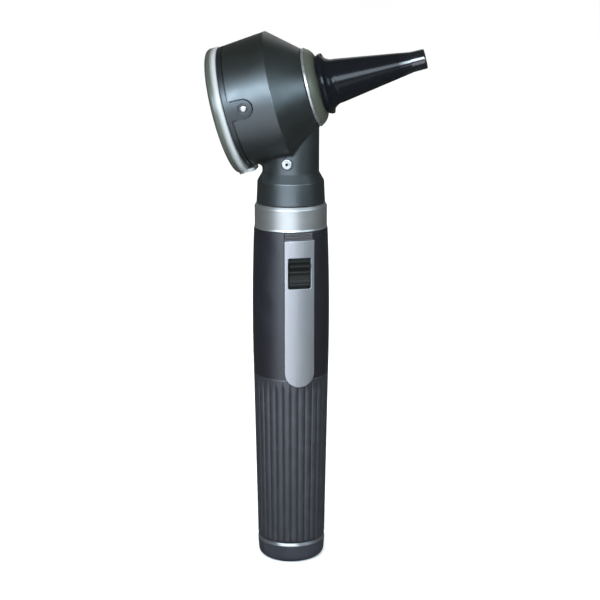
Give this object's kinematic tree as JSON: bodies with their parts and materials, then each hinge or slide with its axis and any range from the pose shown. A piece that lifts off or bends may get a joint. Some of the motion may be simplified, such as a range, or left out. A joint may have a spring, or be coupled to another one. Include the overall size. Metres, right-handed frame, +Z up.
{
  "type": "otoscope",
  "caption": "Pocket otoscope with a ribbed battery handle, slide switch, pocket clip, tilted drum head, swivelling magnifier and pull-off ear speculum.",
  "frame": {"origin": "centre of the flat underside of the end cap", "axes": "+Z up along the handle axis, +X the way the speculum points (tilted 14.6 degrees up from it), -Y the side of the air port and, near enough, of the clip"},
  "size_m": [0.0684, 0.0402, 0.1707],
  "materials": {
    "handle_plastic": "satin anthracite",
    "grip_rubber": "matt ribbed",
    "satin_silver": "satin anodised",
    "clip_steel": "fine satin",
    "root_grey": "dark satin",
    "switch_black": "fine matt",
    "cap_anthracite": "satin anthracite",
    "head_black": "soft satin",
    "frame_black": "soft satin",
    "nose_black": "black anodised",
    "ring_grey": "satin grey",
    "polished_nickel": "polished",
    "connector_nickel": "turned",
    "smoked_acrylic": "translucent, polished",
    "lens_glass": "clear, polished",
    "bulb_glass": "clear",
    "fibre_glass": "polished ends",
    "speculum_gloss": "glossy",
    "seal_rubber": "matt",
    "washer_dark": "smooth",
    "ivory_plastic": "semi-gloss",
    "contact_brass": "plain",
    "spring_steel": "bright wire",
    "cell_jacket": "plain printed sleeve with no marks"
  },
  "bodies": {
    "handle": {"handle_shell": "handle_plastic", "grip_sleeve": "grip_rubber", "collar_ring": "satin_silver", "battery_lower": "cell_jacket", "battery_upper": "cell_jacket", "insulator_plug": "ivory_plastic", "contact_rivet": "contact_brass", "contact_strip": "contact_brass", "switch_contact": "contact_brass", "clip_root": "root_grey"},
    "clip": {"pocket_clip": "clip_steel"},
    "switch": {"switch_slider": "switch_black", "switch_wiper": "contact_brass"},
    "cell_spring": {"spring_plate": "contact_brass", "battery_spring": "spring_steel"},
    "cap": {"end_cap": "cap_anthracite", "cap_o_ring": "seal_rubber"},
    "washer": {"neck_washer": "washer_dark"},
    "head": {"head_housing": "head_black", "rear_frame": "frame_black", "frame_pins": "polished_nickel", "window_gasket": "seal_rubber", "pivot_washer": "polished_nickel", "lens_pivot_pin": "polished_nickel", "insufflation_port": "polished_nickel", "nose_cone": "nose_black", "fibre_bundle": "fibre_glass", "fibre_collector": "contact_brass", "collector_spider": "switch_black", "head_connector": "connector_nickel", "lamp_socket": "ivory_plastic", "lamp_base": "contact_brass", "lamp_bulb": "bulb_glass"},
    "lens": {"lens_plate": "smoked_acrylic", "magnifier_lens": "lens_glass"},
    "front_ring": {"front_ring": "ring_grey", "trim_ring": "polished_nickel"},
    "ejector": {"ejector_sleeve": "ring_grey"},
    "speculum": {"speculum": "speculum_gloss"}
  },
  "joints": [
    {"name": "head_turn", "type": "hinge", "parent": "handle", "child": "washer", "pos_m": [0, 0, 0.118], "axis": [0, 0, 1], "range_deg": [0, 1440]},
    {"name": "head_lift", "type": "slide", "parent": "washer", "child": "head", "axis": [0, 0, 1], "range_m": [0, 0.00601]},
    {"name": "lens_swing", "type": "hinge", "parent": "head", "child": "lens", "pos_m": [-0.02348, 0, 0.1629], "axis": [0.9678, 0, 0.2516], "range_deg": [-100, 100]},
    {"name": "ring_turn", "type": "hinge", "parent": "head", "child": "front_ring", "pos_m": [0.00774, 0, 0.15407], "axis": [0.9678, 0, 0.2516], "range_deg": [0, 60]},
    {"name": "ejector_push", "type": "slide", "parent": "head", "child": "ejector", "axis": [0.9678, 0, 0.2516], "range_m": [0, 0.00151]},
    {"name": "speculum_pull", "type": "slide", "parent": "ejector", "child": "speculum", "axis": [0.9678, 0, 0.2516], "range_m": [0, 0.02]},
    {"name": "switch_slide", "type": "slide", "parent": "handle", "child": "switch", "axis": [0, 0, 1], "range_m": [0, 0.0014]},
    {"name": "clip_flex", "type": "hinge", "parent": "handle", "child": "clip", "pos_m": [0.00419, -0.01252, 0.1074], "axis": [-0.9483, -0.3173, 0], "range_deg": [0, 4], "stiffness_Nm_per_rad": 4},
    {"name": "cap_travel", "type": "slide", "parent": "handle", "child": "cell_spring", "axis": [0, 0, -1], "range_m": [0, 0.00601], "deforming": ["battery_spring"]},
    {"name": "cap_turn", "type": "hinge", "parent": "cell_spring", "child": "cap", "pos_m": [0, 0, 0.007], "axis": [0, 0, -1], "range_deg": [0, 1440]}
  ],
  "couplings": [
    {"joint": "head_lift", "follows": "head_turn", "m_per_rad": 0.00023873},
    {"joint": "cap_travel", "follows": "cap_turn", "m_per_rad": 0.00023873},
    {"joint": "ejector_push", "follows": "ring_turn", "m_per_rad": 0.0014324}
  ]
}
